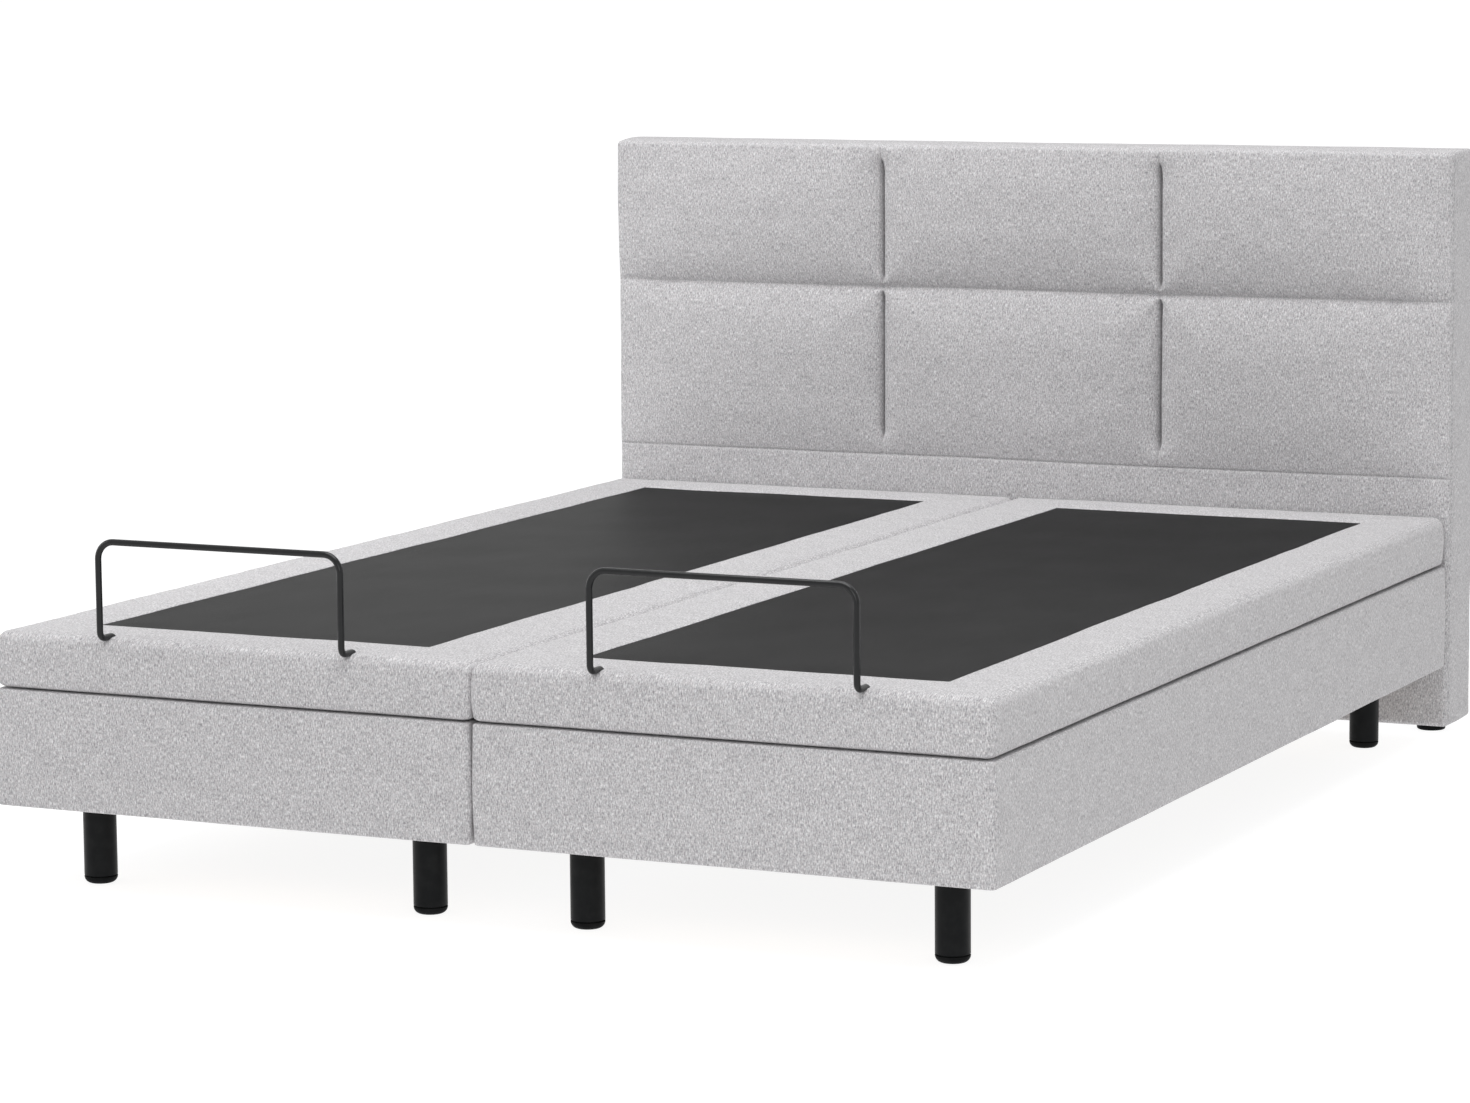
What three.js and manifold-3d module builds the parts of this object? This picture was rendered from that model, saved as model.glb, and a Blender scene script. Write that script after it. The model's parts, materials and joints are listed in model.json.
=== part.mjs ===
// Adjustable bed base: two electric boxspring bases side by side, with one upholstered headboard behind them.
// Each base is a plinth on four legs under a deck of four hinged sections: head, seat, thigh and calf.
// A dual drive in the plinth turns two lift arms, which push the head and thigh sections up,
// and a link keeps the calf section level while the thigh section rises.
// Millimetres, +Z up, +Y towards the headboard. The origin is on the floor under the middle of the whole bed.
import * as THREE from "three";
import { mergeVertices } from "three/addons/utils/BufferGeometryUtils.js";
import Module from "manifold-3d";

const wasm = await Module();
wasm.setup();

// ---- Driving dimensions ----
const CLEAR = 0.3; // between pieces that touch
const RUNNING = 0.5; // round a pin or a shaft that turns

const bedWidth = 1600;
const baseGap = 4; // between the two bases
const deckLength = 2060;
const legHeight = 130;
const plinthHeight = 174;
const seamGap = 2; // between plinth and deck
const deckThickness = 84;

const headLength = 740;
const seatLength = 250;
const thighLength = 370; // the calf section takes the rest of the deck
const sectionGap = 8;

const legRadius = 25;
const legInset = 117; // leg centre to the side of its base, on average
const legShift = 9; // the legs stand this far outwards from there
const legEnd = 112; // leg centre to the end of its base
const legWall = 2;
const legPlate = 5;
const capHeight = 11;
const capGroove = 1.2;
const capPlug = 15;
const capEdge = 6;

const coverThickness = 5; // wadding and fabric round the plinth
const plinthWall = 22;
const plinthCorner = 8;
const battenWidth = 120;
const battenThickness = 20;

const boardThickness = 16;
const boardInset = 4; // inside the edge of the pad
const deckCorner = 12;
const deckEdge = 18; // rounding of the pad's top edge
const foldBevel = 4; // setback of a pad's top corner at a fold
const topPinDepth = 12; // the head and thigh hinge pins, below the deck's top
const kneePinHeight = 4; // the knee pin, above the deck's underside
const pinRadius = 4;
const pinInset = 20; // pin end to the side of the deck
const leafThickness = 2.7;
const leafWidth = 60;
const leafInset = 109; // middle of an outer leaf to the side of the deck
const kneeLeafHeight = 50;

const shaftRadius = 15;
const shaftDepth = 12; // length of a shaft in its bearing hole
const shaftDrop = 77; // the lift shafts below the plinth's top
const shaftSetback = 30; // from a hinge pin towards the section that it lifts
const armSpacing = 100; // arm to the middle of the base
const armThickness = 8;
const armHeight = 22;
const headArm = 330;
const thighArmEnd = 100; // the thigh section's arm is this much shorter than the section
const rollerRadius = 12;
const rollerGap = 1; // between a roller and what it pushes or is pushed by
const leverLength = 75;
const leverThickness = 20;
const leverHeight = 16;
const leverRollerRadius = 7;
const leverRollerInset = 1; // ends of a lever's roller from the sides of its slide
const headTilt = 60; // degrees, the highest
const thighTilt = 35;

const linkShaftRadius = 10;
const linkShaftDrop = 35; // the link's shaft below the plinth's top
const linkForward = 30; // link shaft from the thigh hinge pin, towards the head
const linkSpacing = 60;
const linkThickness = 8;
const linkHeight = 16;
const linkPinRadius = 5;
const earThickness = 5;
const earReach = 40; // along the calf board
const earEnd = 12; // material round the link pin

const driveHalfWidth = 58;
const driveFloor = 6; // under a slide
const driveShaftGap = 5; // between the drive's top and the lift shafts
const driveSetback = 50; // drive end to the middle of a shaft
const driveEdge = 10;
const saddleInner = 30;
const saddleThickness = 10;
const saddleWall = 8;
const slideHalfWidth = 22;
const slideHeight = 34;
const slideRollerDrop = 5; // a slide's underside below the lowest place of its roller
const slideRoom = 4; // behind a slide at rest
const slideWall = 32; // in the drive, between the channels of its two slides
const slideSlotGap = 1.5; // lever to the cheeks of a slide's slot
const slideSlotDepth = 34;
const supplyWidth = 52;
const supplyLength = 150;
const supplyHeight = 50;
const inletWidth = 22;
const inletHeight = 12;
const inletDepth = 9;

const barRadius = 5;
const barWidth = 405; // between the middles of the posts
const barHeight = 145; // middle of the top rail above the deck
const barReach = 10; // posts beyond the foot face
const barRoot = 28; // where the rod enters the deck, from the foot face
const barBend = 24; // radius of the top corners
const barFootBend = 11; // radius of the four small bends
const barEyelet = 3; // room round the rod where it bends out of the pad
const barEyeletDepth = 12;
const barSides = 8;

const headboardHeight = 1016;
const headboardDepth = 140;
const headboardGap = 15; // between deck and headboard
const headboardPad = 45;
const headboardEdge = 10;
const coreInset = 6;
const glideHeight = 20;
const glideRadius = 25;
const glideInset = 55; // glide centre to the side of the headboard
const glideBevel = 3;
const grooveDepth = 8;
const grooveWidth = 8;
const topRow = 249; // height of the upper row of panels
const lowRow = 313; // height of the lower row; the band below it takes the rest
const grooveEnd = 22; // vertical grooves stop this far from the ends of the rows

// ---- Derived places, in the frame of one base: x from its middle, y from its foot face ----
const baseWidth = (bedWidth - baseGap) / 2;
const plinthTop = legHeight + plinthHeight;
const deckBottom = plinthTop + seamGap;
const deckTop = deckBottom + deckThickness;
const boardTop = deckBottom + boardThickness;
const headHinge = { y: deckLength - headLength, z: deckTop - topPinDepth };
const thighHinge = { y: headHinge.y - seatLength, z: headHinge.z };
const knee = { y: thighHinge.y - thighLength, z: deckBottom + kneePinHeight };
const linkShaft = { y: thighHinge.y + linkForward, z: plinthTop - linkShaftDrop };
const linkDrop = thighHinge.z - linkShaft.z;
const linkPin = { y: knee.y + linkForward, z: knee.z - linkDrop };
const headShaft = { y: headHinge.y + shaftSetback, z: plinthTop - shaftDrop };
const thighShaft = { y: thighHinge.y - shaftSetback, z: headShaft.z };
const thighArm = thighLength - thighArmEnd;
const slideBottom = headShaft.z - leverLength - leverRollerRadius - slideRollerDrop;
const slideTop = slideBottom + slideHeight;
const driveBottom = slideBottom - driveFloor;
const driveTop = headShaft.z - shaftRadius - driveShaftGap;
const frameInset = coverThickness + CLEAR;
const frameHalf = baseWidth / 2 - frameInset;
const innerHalf = frameHalf - plinthWall;
const legX = baseWidth / 2 - legInset;
const footFace = -(headboardDepth + headboardGap + deckLength - barReach - barRadius) / 2;
const headboardFront = footFace + deckLength + headboardGap;
const rowGroove = headboardHeight - topRow; // above the floor
const rowSeam = rowGroove - lowRow;

// ---- Solids ----
// A three.js geometry as a manifold-3d solid, and back.
function solid(geometry) {
  const bare = geometry.index ? geometry.toNonIndexed() : geometry.clone();
  bare.deleteAttribute("normal");
  bare.deleteAttribute("uv");
  const merged = mergeVertices(bare, 1e-3);
  return new wasm.Manifold(new wasm.Mesh({
    numProp: 3,
    vertProperties: merged.attributes.position.array,
    triVerts: new Uint32Array(merged.index.array),
  }));
}

function geometryOf(body) {
  const mesh = body.getMesh();
  const indexed = new THREE.BufferGeometry();
  indexed.setAttribute("position", new THREE.BufferAttribute(mesh.vertProperties, 3));
  indexed.setIndex(new THREE.BufferAttribute(mesh.triVerts, 1));
  const flat = indexed.toNonIndexed();
  flat.computeVertexNormals();
  return flat;
}

const union = (...bodies) => bodies.reduce((whole, body) => whole.add(body));

function box(x0, x1, y0, y1, z0, z1) {
  const shape = new THREE.BoxGeometry(x1 - x0, y1 - y0, z1 - z0);
  return solid(shape.translate((x0 + x1) / 2, (y0 + y1) / 2, (z0 + z1) / 2));
}

// A cylinder along X through a place { y, z }.
function rodX(radius, x0, x1, place, sides = 16) {
  const shape = new THREE.CylinderGeometry(radius, radius, x1 - x0, sides);
  return solid(shape.rotateZ(Math.PI / 2).translate((x0 + x1) / 2, place.y, place.z));
}

function rodZ(radius, z0, z1, x, y, sides = 12) {
  const shape = new THREE.CylinderGeometry(radius, radius, z1 - z0, sides);
  return solid(shape.rotateX(Math.PI / 2).translate(x, y, (z0 + z1) / 2));
}

// An outline of [y, z] points drawn out along X.
function prismX(points, x0, x1) {
  const outline = new THREE.Shape(points.map(([y, z]) => new THREE.Vector2(y, z)));
  const shape = new THREE.ExtrudeGeometry(outline, { depth: x1 - x0, bevelEnabled: false });
  const axes = new THREE.Matrix4().makeBasis(
    new THREE.Vector3(0, 1, 0), new THREE.Vector3(0, 0, 1), new THREE.Vector3(1, 0, 0));
  return solid(shape.applyMatrix4(axes).translate(x0, 0, 0));
}

// A flat bar from one { y, z } to another, as high as given and from x0 to x1.
function barX(from, to, height, x0, x1) {
  const length = Math.hypot(to.y - from.y, to.z - from.z);
  const side = { y: ((from.z - to.z) / length) * height / 2, z: ((to.y - from.y) / length) * height / 2 };
  return prismX([
    [from.y - side.y, from.z - side.z],
    [to.y - side.y, to.z - side.z],
    [to.y + side.y, to.z + side.z],
    [from.y + side.y, from.z + side.z],
  ], x0, x1);
}

// A rectangle with round corners, from x -half to half and from y0 to y1.
function outline(half, y0, y1, radius, Kind = THREE.Shape) {
  const shape = new Kind();
  shape.moveTo(-half + radius, y0);
  shape.lineTo(half - radius, y0);
  shape.absarc(half - radius, y0 + radius, radius, -Math.PI / 2, 0);
  shape.lineTo(half, y1 - radius);
  shape.absarc(half - radius, y1 - radius, radius, 0, Math.PI / 2);
  shape.lineTo(-half + radius, y1);
  shape.absarc(-half + radius, y1 - radius, radius, Math.PI / 2, Math.PI);
  shape.lineTo(-half, y0 + radius);
  shape.absarc(-half + radius, y0 + radius, radius, Math.PI, 1.5 * Math.PI);
  return shape;
}

function slab(shape, z0, z1) {
  const options = { depth: z1 - z0, bevelEnabled: false, curveSegments: 3 };
  return solid(new THREE.ExtrudeGeometry(shape, options).translate(0, 0, z0));
}

// The settings of an extrusion as thick as given, whose edges are rounded on both faces.
const bevelled = (thickness, edge) => ({
  depth: thickness - 2 * edge, bevelThickness: edge, bevelSize: edge, bevelSegments: 3, curveSegments: 3,
});

// A slab whose edges are rounded on both faces.
function roundedSlab(half, y0, y1, corner, z0, z1, edge) {
  const inner = outline(half - edge, y0 + edge, y1 - edge, Math.max(corner - edge, 0.5));
  return solid(new THREE.ExtrudeGeometry(inner, bevelled(z1 - z0, edge)).translate(0, 0, z0 + edge));
}

const lathe = (profile, sides = 20) =>
  new THREE.LatheGeometry(profile.map(([r, z]) => new THREE.Vector2(r, z)), sides).rotateX(Math.PI / 2);

// ---- Materials ----
const paint = (color, roughness, metalness = 0) =>
  new THREE.MeshStandardMaterial({ color, roughness, metalness });
const fabric = paint(0xc4c2c4, 0.95);
const wood = paint(0xb9a27c, 0.8);
const blackMetal = paint(0x161718, 0.45, 0.6);
const steel = paint(0x6c7075, 0.4, 0.9);
const blackPlastic = paint(0x121212, 0.6);
const whitePlastic = paint(0xd8d6d0, 0.5);

const bed = new THREE.Group();

function add(group, name, shape, material) {
  const geometry = shape.isBufferGeometry ? shape : geometryOf(shape);
  const mesh = new THREE.Mesh(geometry, material);
  mesh.name = name;
  group.add(mesh);
  return mesh;
}

// ---- Plinth ----
function plinthFrame() {
  const rim = outline(frameHalf, frameInset, deckLength - frameInset, plinthCorner);
  const innerEnd = frameInset + plinthWall;
  rim.holes.push(outline(innerHalf, innerEnd, deckLength - innerEnd, 1, THREE.Path));
  let frame = slab(rim, legHeight, plinthTop);
  for (const y of [legEnd, deckLength - legEnd]) {
    frame = frame.add(box(-frameHalf + 1, frameHalf - 1, y - battenWidth / 2, y + battenWidth / 2,
      legHeight, legHeight + battenThickness));
  }
  const bearingEnd = innerHalf + shaftDepth + RUNNING;
  const bearings = [[headShaft, shaftRadius], [thighShaft, shaftRadius], [linkShaft, linkShaftRadius]];
  for (const [place, radius] of bearings) {
    frame = frame.subtract(rodX(radius + RUNNING, -bearingEnd, bearingEnd, place));
  }
  return frame;
}

function plinthCover() {
  const rim = outline(baseWidth / 2, 0, deckLength, plinthCorner + frameInset);
  rim.holes.push(outline(frameHalf + CLEAR, frameInset - CLEAR, deckLength - frameInset + CLEAR,
    plinthCorner + CLEAR, THREE.Path));
  return slab(rim, legHeight, plinthTop);
}

// A steel tube with a plate closing its top; its open end takes the foot cap's plug.
function legTube() {
  const top = legHeight - CLEAR;
  const bottom = capHeight + capGroove;
  return lathe([
    [0, top - legPlate], [legRadius - legWall, top - legPlate], [legRadius - legWall, bottom],
    [legRadius, bottom], [legRadius, top], [0, top],
  ]);
}

function footCap() {
  const round = [0, 1, 2].map((i) => {
    const angle = (i / 2) * (Math.PI / 2);
    return [legRadius - capEdge + capEdge * Math.sin(angle), capEdge - capEdge * Math.cos(angle)];
  });
  const plug = legRadius - legWall - CLEAR;
  return lathe([[0, 0], ...round, [legRadius, capHeight], [plug, capHeight],
    [plug, capHeight + capPlug], [0, capHeight + capPlug]]);
}

// ---- Deck ----
// The [y, z] outline of a section's space, wider than the deck at its free end.
function sectionSpace(from, to, fromFold, toFold) {
  const over = 20;
  const low = from + (fromFold ? sectionGap / 2 : -over);
  const high = to - (toFold ? sectionGap / 2 : -over);
  const highTop = high - (toFold === "top" ? foldBevel : 0);
  const lowTop = low + (fromFold === "top" ? foldBevel : 0);
  return prismX([
    [low, deckBottom - over], [high, deckBottom - over], [high, headHinge.z], [highTop, deckTop],
    [highTop, deckTop + over], [lowTop, deckTop + over], [lowTop, deckTop], [low, headHinge.z],
  ], -baseWidth, baseWidth);
}

const sections = {
  calf: sectionSpace(0, knee.y, null, "bottom"),
  thigh: sectionSpace(knee.y, thighHinge.y, "bottom", "top"),
  seat: sectionSpace(thighHinge.y, headHinge.y, "top", "top"),
  head: sectionSpace(headHinge.y, deckLength, "top", null),
};

const deckEnd = baseWidth / 2 - pinInset;
const pinRoom = union(...[headHinge, thighHinge, knee].map((pin) =>
  rodX(pinRadius + RUNNING, -deckEnd - RUNNING, deckEnd + RUNNING, pin, 12)));
const fullBoard = slab(outline(baseWidth / 2 - boardInset, boardInset, deckLength - boardInset, deckCorner),
  deckBottom, boardTop).subtract(pinRoom);
const padBottom = boardTop + CLEAR;
const fullPad = roundedSlab(baseWidth / 2, 0, deckLength, deckCorner, padBottom - 2 * deckEdge, deckTop, deckEdge)
  .intersect(box(-baseWidth, baseWidth, -1, deckLength + 1, padBottom, deckTop + 1))
  .subtract(pinRoom);

const barHoles = union(...[-1, 1].map((side) => union(
  rodZ(barRadius + CLEAR, boardTop - 1, deckTop, (side * barWidth) / 2, barRoot),
  rodZ(barRadius + barEyelet, deckTop - barEyeletDepth, deckTop + 1, (side * barWidth) / 2, barRoot),
)));

// ---- Hinges ----
// A pin along the fold with three leaves on the end face of one section.
// side is 1 where that section is towards the head.
function hinge(pin, side, leafBottom, leafTop) {
  const leaf = (x) => box(x - leafWidth / 2, x + leafWidth / 2,
    pin.y + Math.min(0, side * leafThickness), pin.y + Math.max(0, side * leafThickness), leafBottom, leafTop);
  const outer = baseWidth / 2 - leafInset;
  return union(rodX(pinRadius, -deckEnd, deckEnd, pin, 12), ...[-outer, 0, outer].map(leaf));
}

// The knee pin's leaves carry two ears down to the calf link's pin.
function kneeHinge() {
  const inner = linkSpacing + linkThickness / 2 + 1;
  const below = deckBottom - CLEAR - knee.z;
  const profile = [
    [-earReach, below], [-leafThickness, below], [-leafThickness, 0], [0, 0], [0, below - 8],
    [linkForward + earEnd, -linkDrop], [linkForward, -linkDrop - earEnd], [linkForward - earEnd, -linkDrop],
  ].map(([y, z]) => [knee.y + y, knee.z + z]);
  const ears = [inner, -inner - earThickness].map((x) => prismX(profile, x, x + earThickness));
  const pinEnd = inner + earThickness + 1;
  return union(hinge(knee, -1, deckBottom + CLEAR, knee.z + kneeLeafHeight), ...ears)
    .subtract(rodX(linkPinRadius + RUNNING, -pinEnd, pinEnd, linkPin, 12));
}

// ---- Lift arms, link and drive ----
// The angle above level, in radians, at which an arm's roller lies under a section tilted by tilt degrees.
function armAngle(arm, hingePin, tilt) {
  const theta = THREE.MathUtils.degToRad(tilt);
  const below = hingePin.z - deckBottom + rollerRadius + rollerGap;
  const reach = shaftSetback * Math.sin(theta) + (hingePin.z - headShaft.z) * Math.cos(theta) - below;
  return theta + Math.asin(reach / arm);
}

// A shaft across the base with two arms and a roller under the section, and a lever that the drive pushes.
// side is 1 for the head section's arm and -1 for the thigh section's.
function liftArm(shaft, hingePin, arm, tilt, side) {
  const rest = armAngle(arm, hingePin, 0);
  const swing = armAngle(arm, hingePin, tilt) - rest;
  const tip = { y: shaft.y + side * arm * Math.cos(rest), z: shaft.z + arm * Math.sin(rest) };
  const lever = leverEnd(shaft, swing, side);
  const end = armSpacing + armThickness / 2;
  const shaftEnd = innerHalf + shaftDepth;
  const leverRollerEnd = slideHalfWidth - leverRollerInset;
  return union(
    rodX(shaftRadius, -shaftEnd, shaftEnd, shaft),
    ...[-armSpacing, armSpacing].map((x) =>
      barX(shaft, tip, armHeight, x - armThickness / 2, x + armThickness / 2)),
    rodX(rollerRadius, -end, end, tip),
    barX(shaft, lever, leverHeight, -leverThickness / 2, leverThickness / 2),
    rodX(leverRollerRadius, -leverRollerEnd, leverRollerEnd, lever, 12),
  );
}

// The lever swings evenly to both sides of straight down, so it leans towards the drive at rest.
function leverEnd(shaft, swing, side) {
  const lean = swing / 2;
  return { y: shaft.y - side * leverLength * Math.sin(lean), z: shaft.z - leverLength * Math.cos(lean) };
}

function calfLink() {
  const shaftEnd = innerHalf + shaftDepth;
  const pinEnd = linkSpacing + linkThickness / 2 + 1 + earThickness + 2;
  return union(
    rodX(linkShaftRadius, -shaftEnd, shaftEnd, linkShaft, 16),
    ...[-linkSpacing, linkSpacing].map((x) =>
      barX(linkShaft, linkPin, linkHeight, x - linkThickness / 2, x + linkThickness / 2)),
    rodX(linkPinRadius, -pinEnd, pinEnd, linkPin, 12),
  );
}

const headSwing = armAngle(headArm, headHinge, headTilt) - armAngle(headArm, headHinge, 0);
const thighSwing = armAngle(thighArm, thighHinge, thighTilt) - armAngle(thighArm, thighHinge, 0);
const headSlideFace = leverEnd(headShaft, headSwing, 1).y - leverRollerRadius - rollerGap;
const thighSlideFace = leverEnd(thighShaft, thighSwing, -1).y + leverRollerRadius + rollerGap;
const slideLength = (headSlideFace - thighSlideFace - slideWall) / 2 - slideRoom;

// Pushes a lever's roller with two cheeks, between which the lever swings:
// face is the y of its pushing end, and side is 1 where that end looks towards the head.
function slide(face, side) {
  const span = (y0, y1) => [Math.min(y0, y1), Math.max(y0, y1)];
  const slotHalf = leverThickness / 2 + slideSlotGap;
  const body = box(-slideHalfWidth, slideHalfWidth, ...span(face, face - side * slideLength),
    slideBottom, slideTop);
  return body.subtract(box(-slotHalf, slotHalf, ...span(face + side, face - side * slideSlotDepth),
    slideBottom - 1, slideTop + 1));
}

// The drive's case hangs on both lift shafts by two pairs of saddles, and its slides come out of both ends.
function driveCase() {
  const low = thighShaft.y + driveSetback;
  const high = headShaft.y - driveSetback;
  const middle = (low + high) / 2;
  let body = roundedSlab(driveHalfWidth, low, high, driveEdge + 2, driveBottom, driveTop, driveEdge);
  body = body.add(box(-driveHalfWidth - supplyWidth, -driveHalfWidth + driveEdge + 2, middle - supplyLength / 2,
    middle + supplyLength / 2, driveBottom + driveEdge, driveBottom + driveEdge + supplyHeight));
  const bottom = driveTop - driveEdge - 5;
  for (const [shaft, side] of [[headShaft, 1], [thighShaft, -1]]) {
    const outer = shaft.y + side * (shaftRadius + saddleWall);
    const inner = shaft.y - side * (driveSetback + driveEdge);
    for (const x of [saddleInner, -saddleInner - saddleThickness]) {
      body = body.add(box(x, x + saddleThickness, Math.min(outer, inner), Math.max(outer, inner),
        bottom, shaft.z + shaftRadius + saddleWall));
    }
    body = body.subtract(rodX(shaftRadius + RUNNING, -driveHalfWidth, driveHalfWidth, shaft));
  }
  const channel = (y0, y1) => box(-slideHalfWidth - CLEAR, slideHalfWidth + CLEAR, y0, y1,
    slideBottom - CLEAR, slideTop + CLEAR);
  body = body.subtract(channel(headSlideFace - slideLength - slideRoom, high + 1));
  body = body.subtract(channel(low - 1, thighSlideFace + slideLength + slideRoom));
  const inletZ = driveBottom + driveEdge + supplyHeight / 2;
  const inletX = -driveHalfWidth - supplyWidth / 2;
  return body.subtract(box(inletX - inletWidth / 2, inletX + inletWidth / 2,
    middle - supplyLength / 2 - 1, middle - supplyLength / 2 + inletDepth,
    inletZ - inletHeight / 2, inletZ + inletHeight / 2));
}

// ---- Mattress retainer bar ----
// A line through its stations, with one step of the sweep at each station.
class RodPath extends THREE.Curve {
  constructor(stations) {
    super();
    this.stations = stations;
  }
  getPoint(t) {
    const at = t * (this.stations.length - 1);
    const i = Math.min(Math.floor(at), this.stations.length - 2);
    return this.stations[i].clone().lerp(this.stations[i + 1], at - i);
  }
  getUtoTmapping(u) {
    return u;
  }
}

// The corners joined by straight lines, each corner between them rounded by its radius.
function bent(corners, radii, steps = 4) {
  const path = [corners[0]];
  for (let i = 1; i < corners.length - 1; i++) {
    const back = corners[i - 1].clone().sub(corners[i]).normalize();
    const ahead = corners[i + 1].clone().sub(corners[i]).normalize();
    const half = back.angleTo(ahead) / 2;
    const centre = corners[i].clone().add(back.clone().add(ahead).setLength(radii[i - 1] / Math.sin(half)));
    const start = corners[i].clone().addScaledVector(back, radii[i - 1] / Math.tan(half)).sub(centre);
    const axis = ahead.clone().cross(back).normalize();
    const turn = Math.PI - 2 * half;
    for (let k = 0; k <= steps; k++) {
      path.push(start.clone().applyAxisAngle(axis, (turn * k) / steps).add(centre));
    }
  }
  return [...path, corners[corners.length - 1]];
}

function retainerBar() {
  const x = barWidth / 2;
  const run = deckTop + barRadius + 1;
  const post = (side) => [
    new THREE.Vector3(side * x, barRoot, padBottom),
    new THREE.Vector3(side * x, barRoot, run),
    new THREE.Vector3(side * x, -barReach, run),
    new THREE.Vector3(side * x, -barReach, deckTop + barHeight),
  ];
  const corners = [...post(-1), ...post(1).reverse()];
  const stations = bent(corners, [barFootBend, barFootBend, barBend, barBend, barFootBend, barFootBend]);
  const section = new THREE.Shape();
  section.absarc(0, 0, barRadius, 0, 2 * Math.PI);
  return new THREE.ExtrudeGeometry(section, {
    extrudePath: new RodPath(stations), steps: stations.length - 1, curveSegments: barSides,
  });
}

// ---- One base ----
function base(side) {
  const group = new THREE.Group();
  const outwards = side === "left" ? -1 : 1;
  group.position.set(outwards * (baseWidth + baseGap) / 2, footFace, 0);
  add(group, `${side}_plinth_frame`, plinthFrame(), wood);
  add(group, `${side}_plinth_cover`, plinthCover(), fabric);
  const corners = { foot_left: [-1, legEnd], foot_right: [1, legEnd],
    head_left: [-1, deckLength - legEnd], head_right: [1, deckLength - legEnd] };
  for (const [corner, [across, y]] of Object.entries(corners)) {
    const x = across * legX + outwards * legShift;
    add(group, `${side}_leg_${corner}`, legTube(), blackMetal).position.set(x, y, 0);
    add(group, `${side}_foot_cap_${corner}`, footCap(), blackPlastic).position.set(x, y, 0);
  }
  for (const [name, space] of Object.entries(sections)) {
    const pad = fullPad.intersect(space);
    add(group, `${side}_${name}_board`, fullBoard.intersect(space), wood);
    add(group, `${side}_${name}_pad`, name === "calf" ? pad.subtract(barHoles) : pad, fabric);
  }
  add(group, `${side}_head_hinge`, hinge(headHinge, -1, deckBottom + CLEAR, headHinge.z), steel);
  add(group, `${side}_thigh_hinge`, hinge(thighHinge, 1, deckBottom + CLEAR, thighHinge.z), steel);
  add(group, `${side}_knee_hinge`, kneeHinge(), steel);
  add(group, `${side}_calf_link`, calfLink(), blackMetal);
  add(group, `${side}_head_lift_arm`, liftArm(headShaft, headHinge, headArm, headTilt, 1), blackMetal);
  add(group, `${side}_thigh_lift_arm`, liftArm(thighShaft, thighHinge, thighArm, thighTilt, -1), blackMetal);
  add(group, `${side}_drive_case`, driveCase(), blackPlastic);
  add(group, `${side}_head_drive_slide`, slide(headSlideFace, 1), whitePlastic);
  add(group, `${side}_thigh_drive_slide`, slide(thighSlideFace, -1), whitePlastic);
  add(group, `${side}_retainer_bar`, retainerBar(), blackMetal);
  return group;
}

// ---- Headboard ----
// A cushion in front of a core, with a groove between two rows of panels and two grooves across them.
function headboardPadding() {
  const half = bedWidth / 2;
  const front = headboardFront;
  const stand = new THREE.Matrix4().makeBasis(
    new THREE.Vector3(1, 0, 0), new THREE.Vector3(0, 0, 1), new THREE.Vector3(0, -1, 0));
  const edge = headboardEdge;
  const face = outline(half - edge, glideHeight + edge, headboardHeight - edge, edge);
  const cushion = new THREE.ExtrudeGeometry(face, bevelled(headboardPad, edge)).applyMatrix4(stand)
    .translate(0, front + headboardPad - edge, 0);
  const groove = (x0, x1, z0, z1) => box(x0, x1, front - 1, front + grooveDepth, z0, z1);
  const across = (z) => groove(-half - 1, half + 1, z - grooveWidth / 2, z + grooveWidth / 2);
  const upright = (x, z0, z1) => groove(x - grooveWidth / 2, x + grooveWidth / 2, z0, z1);
  let padding = solid(cushion).subtract(across(rowGroove));
  for (const x of [-bedWidth / 6, bedWidth / 6]) {
    padding = padding.subtract(upright(x, rowSeam + grooveEnd, headboardHeight - grooveEnd));
  }
  return padding;
}

function headboard() {
  const group = new THREE.Group();
  const half = bedWidth / 2 - coreInset;
  const back = headboardFront + headboardDepth;
  add(group, "headboard_padding", headboardPadding(), fabric);
  const core = box(-half, half, headboardFront + headboardPad + CLEAR, back,
    glideHeight + CLEAR, headboardHeight - coreInset);
  add(group, "headboard_core", core, wood);
  const glide = lathe([[0, 0], [glideRadius - glideBevel, 0], [glideRadius, glideBevel],
    [glideRadius, glideHeight], [0, glideHeight]]);
  for (const [name, across] of [["left", -1], ["right", 1]]) {
    const foot = add(group, `headboard_glide_${name}`, glide, blackPlastic);
    foot.position.set(across * (bedWidth / 2 - glideInset), (headboardFront + headboardPad + back) / 2, 0);
  }
  return group;
}

bed.add(base("left"), base("right"), headboard());

export default bed;
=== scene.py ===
"""An electric twin boxspring with a padded headboard: upholstery, legs, bars, materials, light and camera.

All lengths are in metres, in the frame's own axes: +X across the bed, +Y towards the headboard, +Z up.
"""

import json
import math

import bpy
import numpy as np
from mathutils import Matrix, Vector, noise


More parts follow.
